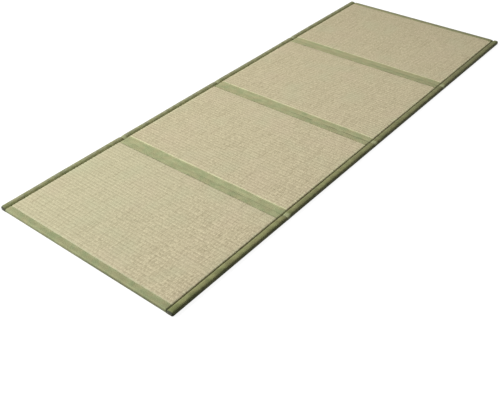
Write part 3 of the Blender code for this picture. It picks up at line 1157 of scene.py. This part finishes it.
@dataclass
class SideRolls:
    """The padded cloth rolls over the two long edges, pinched at the folds."""

    seam_height: float = 0.0119
    tuck_height: float = 0.0092
    tuck_width: float = 0.0010
    squareness: tuple[float, float] = (0.62, 0.85)
    nose_cuts: int = 13
    crown_power: float = 2.7
    crown_cuts: int = 10
    left_pinch: float = 0.45
    wave: float = 0.0004
    wave_rate: float = 9.0
    wave_shift: float = 2.0
    pucker: float = 0.00030
    pucker_seed: int = 71
    pucker_cell: tuple[float, float] = (0.009, 0.05)
    swell: float = 0.00030
    swell_seed: int = 74
    swell_cell: tuple[float, float] = (0.070, 0.02)
    spacing: float = 0.005
    fold_spacing: float = 0.0012
    end_steps: tuple[tuple[float, float], ...] = (
        (0.0, 0.54),
        (0.0004, 0.66),
        (0.0011, 0.77),
        (0.0022, 0.865),
        (0.0038, 0.94),
        (0.0058, 0.985),
        (0.0080, 1.0),
    )
    end_middle: float = 0.25
    flat_width: float = 0.062

    def profile(self) -> np.ndarray:
        """Return the outer curve away from the folds, lower lip to seam: distance in and height."""
        out, up = rounded(np.radians(np.linspace(-90, 90, self.nose_cuts)), *self.squareness)
        nose = np.stack([FORM.side_nose * (1 - out), FORM.side_height / 2 * (1 + up)], axis=1)
        share = np.linspace(0.0, 1.0, self.crown_cuts + 1)[1:]
        stop = FORM.side_width - self.tuck_width
        crown = np.stack(
            [
                FORM.side_nose + (stop - FORM.side_nose) * share,
                FORM.side_height - (FORM.side_height - self.seam_height) * share**self.crown_power,
            ],
            axis=1,
        )
        lip = np.array([[FORM.side_width, 0.0], [(FORM.side_width + FORM.side_nose) / 2, 0.0]])
        tuck = np.array([[FORM.side_width, self.tuck_height]])
        return np.concatenate([lip, nose, crown, tuck])

    def outer(self, x: np.ndarray, side: Side) -> np.ndarray:
        """Return the outer curve at places along the mat, shaped (places, points, 2).

        Args:
            x: The places along the mat.
            side: Which long edge.

        Returns:
            The distance in from the edge and the height of each point.
        """
        curve = np.repeat(self.profile()[None], len(x), axis=0)
        u, z = curve[..., 0], curve[..., 1]
        share = z / FORM.side_height
        across = u / FORM.side_width
        pinch = FORM.pinch(x)[:, None] * (self.left_pinch if side is Side.LEFT else 1.0)
        wave = self.wave * np.sin(self.wave_rate * x + self.wave_shift * side.value)[:, None]
        drop = pinch * (1.0 - FORM.pinch_at_seam * across**2) - wave * (1.0 - across)
        rough = Unevenness(self.pucker_seed + side.value, self.pucker_cell).at(x[:, None], u)
        swell = Unevenness(self.swell_seed + side.value, self.swell_cell).at(x[:, None], u)
        lift = self.pucker * rough * across + self.swell * swell
        curve[..., 0] += FORM.pinch_in * pinch * share * np.clip(1.0 - u / FORM.side_nose, 0, 1)
        curve[..., 1] -= (drop - lift) * share
        return curve

    def stations(self) -> np.ndarray:
        """Return the places along the mat where the roll is cut, finest at the folds."""
        shoulder = FORM.length / 2 - self.end_steps[-1][0]
        even = np.linspace(-shoulder, shoulder, round(2 * shoulder / self.spacing))
        reach = max(FORM.pinch_reaches)
        near = np.arange(-reach, reach + self.fold_spacing / 2, self.fold_spacing)
        lines = np.array(FORM.fold_lines)
        away = np.min(np.abs(even[:, None] - lines[None]), axis=1) > reach
        return np.sort(np.concatenate([even[away], (lines[:, None] + near[None]).ravel()]))

    def loops(self, x: np.ndarray, side: Side, shrink: float, filled: bool) -> np.ndarray:
        """Return closed sections of a roll.

        Args:
            x: Places along the mat.
            side: Which long edge.
            shrink: Height of the sections over the full height.
            filled: Whether the cloth closes the roll there.

        Returns:
            The points, shaped (places, points, 3).
        """
        outer = self.outer(x, side)
        narrow = (1.0 - shrink) * FORM.side_nose
        outer[..., 0] += narrow * np.clip(1.0 - outer[..., 0] / FORM.side_nose, 0, 1)
        outer[..., 1] = outer[..., 1] * shrink + (1.0 - shrink) * self.end_middle * FORM.side_height
        inner = inset(outer, FORM.cloth)
        if filled:
            share = np.linspace(0.0, 1.0, inner.shape[1])[None]
            low, high = inner[:, :1, 1], inner[:, -1:, 1]
            inner[..., 1] = low + (high - low) * share
            inner[..., 0] = FORM.side_width
        section = np.concatenate([outer, inner[:, ::-1]], axis=1)
        across = side.value * (FORM.width / 2 - section[..., 0])
        along = np.broadcast_to(x[:, None], across.shape)
        return np.stack([along, across, section[..., 1]], axis=2)

    def build(self, material: bpy.types.Material) -> list[bpy.types.Object]:
        """Build both rolls and return them.

        Args:
            material: Their cloth.

        Returns:
            The right roll and the left one.
        """
        pieces = []
        for side in Side:
            near, far = [], []
            for step, shrink in self.end_steps[:-1]:
                place = np.array([FORM.length / 2 - step])
                near.append(self.loops(-place, side, shrink, True))
                far.append(self.loops(place, side, shrink, True))
            middle = self.loops(self.stations(), side, 1.0, False)
            loops = np.concatenate([*near, middle, *far[::-1]])
            name = side.name.lower()
            piece = tube(f"side_roll_{name}", loops)
            dress(piece, Slot.SIDE, material, f"side_binding_{name}")
            pieces.append(piece)
        return pieces


@dataclass
class RushPanels:
    """The four padded panels with their woven rush faces."""

    ends: EndBindings
    rolls: SideRolls
    rib_pitch: float = 0.01333
    rib_height: float = 0.0010
    low_rib: float = 0.80
    under: float = 0.50
    rib_steps: tuple[tuple[float, float], ...] = ((0.0, 0.0), (0.22, 0.82), (0.5, 1.0), (0.78, 0.82))
    stalk: float = 0.0016
    uneven_stalk: float = 0.16
    cut: float = 0.0245
    end_cut: float = 0.0236
    end_dip: float = 0.0008
    end_dip_reach: float = 0.010
    end_rise: float = 0.35
    weave_seed: int = 100
    wave: float = 0.0004
    wave_rates: tuple[float, float] = (7.3, 5.9)
    wave_slant: float = 2.3
    wave_start: float = 1.1
    wave_margin: float = 0.030
    wander: float = 0.0005
    wander_seed: int = 90
    wander_cell: tuple[float, float] = (0.090, 0.050)
    setback: float = 0.0090
    hair: float = 0.0001
    nose_cuts: int = 9
    end_cuts: tuple[float, ...] = (0.014, 0.019)
    lip_clearance: float = 0.0008
    fold_cuts: tuple[float, ...] = (0.005, 0.0075, 0.011, 0.015, 0.018, 0.022, 0.0238)
    fold_clearance: float = 0.0004
    sharp_degrees: float = 50.0
    fill: float = 0.9
    batches: tuple[Batch, ...] = (
        Batch(fresh=0.42, uneven=0.95),
        Batch(fresh=0.12, uneven=0.78),
        Batch(fresh=0.03, uneven=0.68),
        Batch(fresh=0.0, uneven=0.70),
    )

    def span(self, index: int) -> tuple[float, float]:
        """Return where along the mat a panel's woven face starts and stops.

        Args:
            index: Which panel.

        Returns:
            Where it starts and where it stops.
        """
        low = -FORM.length / 2 + index * FORM.panel_pitch
        high = low + FORM.panel_pitch
        start = low + (self.end_cut if index == 0 else self.cut)
        stop = high - (self.end_cut if index == FORM.panel_count - 1 else self.cut)
        return start, stop

    def true_pitch(self, index: int) -> float:
        """Return the length of a rib that fits a whole number of them in a panel."""
        start, stop = self.span(index)
        return (stop - start) / round((stop - start) / self.rib_pitch)

    def columns(self) -> np.ndarray:
        """Return the places across the mat of the stalks' middles and the seams."""
        count = round(2 * FORM.seam_wall / self.stalk)
        return np.linspace(-FORM.seam_wall, FORM.seam_wall, count + 1)

    def face(self, index: int, y: np.ndarray) -> tuple[np.ndarray, np.ndarray]:
        """Return the woven face of a panel.

        Args:
            index: Which panel.
            y: The places across the mat.

        Returns:
            The places along the mat and the heights, each shaped (rows, places across).
        """
        start, stop = self.span(index)
        pitch = self.true_pitch(index)
        count = round((stop - start) / pitch)
        steps = [(rib, share, rise) for rib in range(count) for share, rise in self.rib_steps]
        ribs, shares, rises = np.array([*steps, (count, 0.0, 0.0)]).T
        x = np.repeat((start + (ribs + shares) * pitch)[:, None], len(y), axis=1)
        column = np.arange(len(y))[None]
        over = (column + ribs[:, None]) % 2 == 0
        tall = np.where(ribs % 2 == 0, 1.0, self.low_rib)[:, None]
        draws = np.random.default_rng(self.weave_seed + index)
        seeded = draws.uniform(-1.0, 1.0, (count + 1, len(y)))
        uneven = 1.0 + self.uneven_stalk * seeded[ribs.astype(int)]
        rise = self.rib_height * tall * rises[:, None] * np.where(over, uneven, self.under * uneven)
        to_end = np.minimum(x - start, stop - x)
        dip = self.end_dip * np.clip(1.0 - to_end / self.end_dip_reach, 0.0, 1.0)
        calm = np.clip(to_end / self.wave_margin, 0.0, 1.0)
        along, across = self.wave_rates
        slow = self.wave * np.sin(along * x + self.wave_start)
        slow = slow * np.cos(across * y[None] + self.wave_slant * x)
        wanders = Unevenness(self.wander_seed + index, self.wander_cell)
        wander = self.wander * wanders.at(x, y[None])
        inland = np.clip(to_end / self.end_dip_reach, 0.0, 1.0)
        risen = self.end_rise + (1.0 - self.end_rise) * inland
        height = FORM.rush_top + rise * risen - dip + slow * calm
        return x + wander * calm, height

    def rows(self, index: int) -> tuple[np.ndarray, ...]:
        """Return a panel's sections along the mat.

        Args:
            index: Which panel.

        Returns:
            The places and heights of its top, shaped (sections, columns), the height of its
            underside, and whether its padded side edges are there, one of each a section.
        """
        y = self.columns()
        x, height = self.face(index, y)
        under = np.zeros(len(x))
        padded = np.ones(len(x))
        for end in End:
            is_end = index == (0 if end is End.NEAR else FORM.panel_count - 1)
            made = self.end_rows(end) if is_end else self.fold_rows(index, end)
            more_x, more_height, more_under, more_padded = made
            more_x = np.repeat(more_x[:, None], len(y), axis=1)
            more_height = np.repeat(more_height[:, None], len(y), axis=1)
            order = slice(None) if end is End.NEAR else slice(None, None, -1)
            parts = [
                (more_x[order], x),
                (more_height[order], height),
                (more_under[order], under),
                (more_padded[order], padded),
            ]
            turn = 1 if end is End.NEAR else -1
            x, height, under, padded = (np.concatenate(part[::turn]) for part in parts)
        return x, height, under, padded

    def end_rows(self, end: End) -> tuple[np.ndarray, ...]:
        """Return the sections under an end strip, outermost first.

        Args:
            end: Which end.

        Returns:
            Places, heights of the top and of the underside, and whether the padded edges are there.
        """
        inside = FORM.cloth + FORM.gap
        share = np.linspace(0.0, 1.0, self.nose_cuts)
        nose = inside + (self.ends.nose - inside) * (1.0 - np.cos(share * math.pi / 2))
        nose[0] += self.hair / 2
        setback = (self.setback, self.setback + 2 * self.hair)
        lip = self.ends.width - self.lip_clearance
        flat = (*setback, *self.end_cuts, lip, self.end_cut - self.hair)
        inwards = np.concatenate([nose, flat])
        top, bottom = self.ends.top_and_bottom(inwards, inside)
        bottom = np.where(inwards > lip + self.hair, 0.0, bottom)
        padded = np.where(inwards > self.setback + self.hair, 1.0, 0.0)
        top = np.minimum(top, FORM.rush_top - self.end_dip)
        return end.value * (FORM.length / 2 - inwards), top, bottom, padded

    def fold_rows(self, index: int, end: End) -> tuple[np.ndarray, ...]:
        """Return the sections under half of a fold band, from the fold gap outwards.

        Args:
            index: Which panel.
            end: Which of the panel's ends.

        Returns:
            Places, heights of the top and of the underside, and whether the padded edges are there.
        """
        line = -FORM.length / 2 + (index + (0 if end is End.NEAR else 1)) * FORM.panel_pitch
        steps = np.array([FORM.fold_gap / 2, *self.fold_cuts])
        rest = FORM.rush_top - FORM.cloth - FORM.gap - self.fold_clearance
        top = rest - FORM.dip_to_fold(steps)
        x = line - end.value * steps
        return x, top, np.zeros(len(x)), np.ones(len(x))

    def edge_curves(self, x: np.ndarray, side: Side, padded: np.ndarray) -> np.ndarray:
        """Return the padded edge inside a roll, from under its lip over the top to the seam.

        Args:
            x: Places along the mat, one a section.
            side: Which long edge.
            padded: 1 where the edge is there, and 0 where the panel has an upright wall.

        Returns:
            The points, shaped (sections, points, 3).
        """
        curve = inset(self.rolls.outer(x, side), FORM.cloth + FORM.gap)[:, 1::2]
        step = FORM.side_width + FORM.seam_gap
        u = step + (curve[..., 0] - step) * padded[:, None]
        z = np.maximum(curve[..., 1], FORM.cloth + 2 * FORM.gap)
        u[:, 0] = step
        u[:, -1] = step
        along = np.broadcast_to(x[:, None], u.shape)
        return np.stack([along, side.value * (FORM.width / 2 - u), z], axis=2)

    def build(self, finish: RushFinish) -> None:
        """Build and dress the four panels.

        Args:
            finish: Their rush.
        """
        y = self.columns()
        dip = FORM.dip_to_side(y)
        for index in range(FORM.panel_count):
            x, height, under, padded = self.rows(index)
            top = height - dip[None] * np.clip(height / FORM.rush_top, 0.0, 1.0)
            face = np.stack([x, np.broadcast_to(y[None], x.shape), top], axis=2)
            middle = x[:, len(y) // 2]
            right = self.edge_curves(middle, Side.RIGHT, padded)
            left = self.edge_curves(middle, Side.LEFT, padded)
            for edge, column in ((right, 0), (left, -1)):
                lid = np.minimum(edge[..., 2], top[:, column][:, None] - 2 * self.hair)
                wall = np.maximum(lid, under[:, None] + self.hair)
                edge[..., 2] = np.where(padded[:, None] > 0.0, edge[..., 2], wall)
            feet = []
            for place in (FORM.seam_wall, 0.0, -FORM.seam_wall):
                feet.append(np.stack([middle, np.full_like(middle, place), under], axis=1))
            loops = np.concatenate([right, face, left[:, ::-1], np.stack(feet, axis=1)], axis=1)
            piece = tube(f"rush_face_{index + 1}", loops, self.sharp_degrees)
            edge = finish.near_edge if index == 0 else finish.fold_edge
            pitch, batch = self.true_pitch(index), self.batches[index]
            material = finish.material(f"rush_{index + 1}", self.span(index), pitch, batch, edge)
            dress(piece, Slot.RUSH, material, f"rush_panel_{index + 1}")


@dataclass
class Studio:
    """The plain floor, soft lights and camera."""

    floor_size: float = 60.0
    floor_colour: Colour = (0.20, 0.20, 0.20)
    floor_glow: float = 0.90
    floor_roughness: float = 0.9
    floor_specular: float = 0.1
    sky: float = 0.12
    key_place: tuple[float, float, float] = (-3.98, 3.72, 3.78)
    key_size: float = 3.2
    key_power: float = 576.0
    top_place: tuple[float, float, float] = (0.37, 0.0, 2.0)
    top_size: float = 2.4
    top_power: float = 19.5
    camera_place: tuple[float, float, float] = (-1.88056, -1.53264, 1.47346)
    camera_turn_degrees: tuple[float, float, float] = (51.1891, 1.1596, -52.5846)
    camera_lens: float = 50.558
    camera_sensor: float = 36.0
    camera_shift: float = -0.10

    def build(self) -> None:
        """Build the floor, the lights and the camera."""
        self.build_floor()
        self.build_sky()
        self.build_light("key", self.key_place, self.key_size, self.key_power)
        self.build_light("overhead", self.top_place, self.top_size, self.top_power)
        self.build_camera()

    def build_floor(self) -> None:
        """Build the pale floor, just under the mat. It throws no light back up at the edges."""
        half = self.floor_size / 2
        points = np.array([[-half, -half, 0], [half, -half, 0], [half, half, 0], [-half, half, 0]])
        points[:, 2] = CAD_LOW.z - FORM.gap
        floor = mesh_piece("floor", points, np.arange(4), np.array([4]), 180.0)
        paint = Paint("pale_floor")
        paint.set(Base_Color=self.floor_colour, Roughness=self.floor_roughness)
        paint.set(Specular_IOR_Level=self.floor_specular)
        paint.set(Emission_Color=(1.0, 1.0, 1.0), Emission_Strength=self.floor_glow)
        floor.data.materials.append(paint.material)
        floor.visible_diffuse = False

    def build_sky(self) -> None:
        """Light the room softly and evenly."""
        world = bpy.data.worlds.new("room")
        world.use_nodes = True
        world.node_tree.nodes["Background"].inputs["Color"].default_value = (1.0, 1.0, 1.0, 1.0)
        world.node_tree.nodes["Background"].inputs["Strength"].default_value = self.sky
        bpy.context.scene.world = world
        bpy.context.scene.view_settings.view_transform = "Standard"

    def build_light(self, name: str, place: Sequence[float], size: float, power: float) -> None:
        """Hang a square soft light that faces the mat.

        Args:
            name: Name of the light.
            place: Where it hangs.
            size: Length of its sides.
            power: Its power in watts.
        """
        data = bpy.data.lights.new(name, "AREA")
        data.size = size
        data.energy = power
        light = bpy.data.objects.new(name, data)
        light.location = place
        light.rotation_euler = (-Vector(place)).to_track_quat("-Z", "Y").to_euler()
        bpy.context.scene.collection.objects.link(light)

    def build_camera(self) -> None:
        """Stand the camera where the mat is seen at the photograph's angle."""
        data = bpy.data.cameras.new("camera")
        data.lens = self.camera_lens
        data.sensor_width = self.camera_sensor
        data.shift_x = self.camera_shift
        camera = bpy.data.objects.new("camera", data)
        camera.location = self.camera_place
        camera.rotation_euler = [math.radians(turn) for turn in self.camera_turn_degrees]
        bpy.context.scene.collection.objects.link(camera)
        bpy.context.scene.camera = camera


THREAD_FINISH = ClothFinish(
    "thread",
    deep=(0.330, 0.345, 0.190),
    pale=(0.420, 0.425, 0.250),
    warm=(0.400, 0.370, 0.215),
    warmth=0.5,
)
BAND_FINISH = ClothFinish(
    "band_cloth",
    deep=(0.262, 0.300, 0.154),
    pale=(0.366, 0.378, 0.204),
    warm=(0.365, 0.322, 0.176),
    warmth=0.7,
    end_shades=(0.14, 0.34),
)
SIDE_FINISH = ClothFinish(
    "side_cloth",
    deep=(0.138, 0.152, 0.060),
    pale=(0.262, 0.272, 0.118),
    warm=(0.238, 0.208, 0.098),
    warmth=0.5,
    rolled=True,
    sheen=0.35,
    far_shade=0.30,
    right_shade=0.42,
    patch=(0.030, 0.030),
)


def main() -> None:
    """Build and dress every piece of the mat, then the studio round it."""
    logging.basicConfig(level=logging.INFO, format="%(message)s")
    Studio().build()
    ends = EndBindings()
    rolls = SideRolls()
    RushPanels(ends, rolls).build(RushFinish())
    band_cloth = BAND_FINISH.material()
    side_cloth = SIDE_FINISH.material()
    stitching = Stitching(THREAD_FINISH.material())
    places = stitching.middles()
    bands = FoldBands()
    reach = 2 * FORM.seam_wall
    for index, strip in enumerate(bands.build(band_cloth)):
        thread = stitching.build(f"fold_stitches_{index + 1}", bands.stitches(index, places))
        under = [f"rush_face_{index + 1}", f"rush_face_{index + 2}"]
    for end, strip, under in zip(End, ends.build(band_cloth), ("rush_face_1", "rush_face_4")):
        thread = stitching.build(f"end_stitches_{end.name.lower()}", [ends.stitches(end, places)])
    for roll in rolls.build(side_cloth):
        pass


if __name__ == "__main__":
    main()
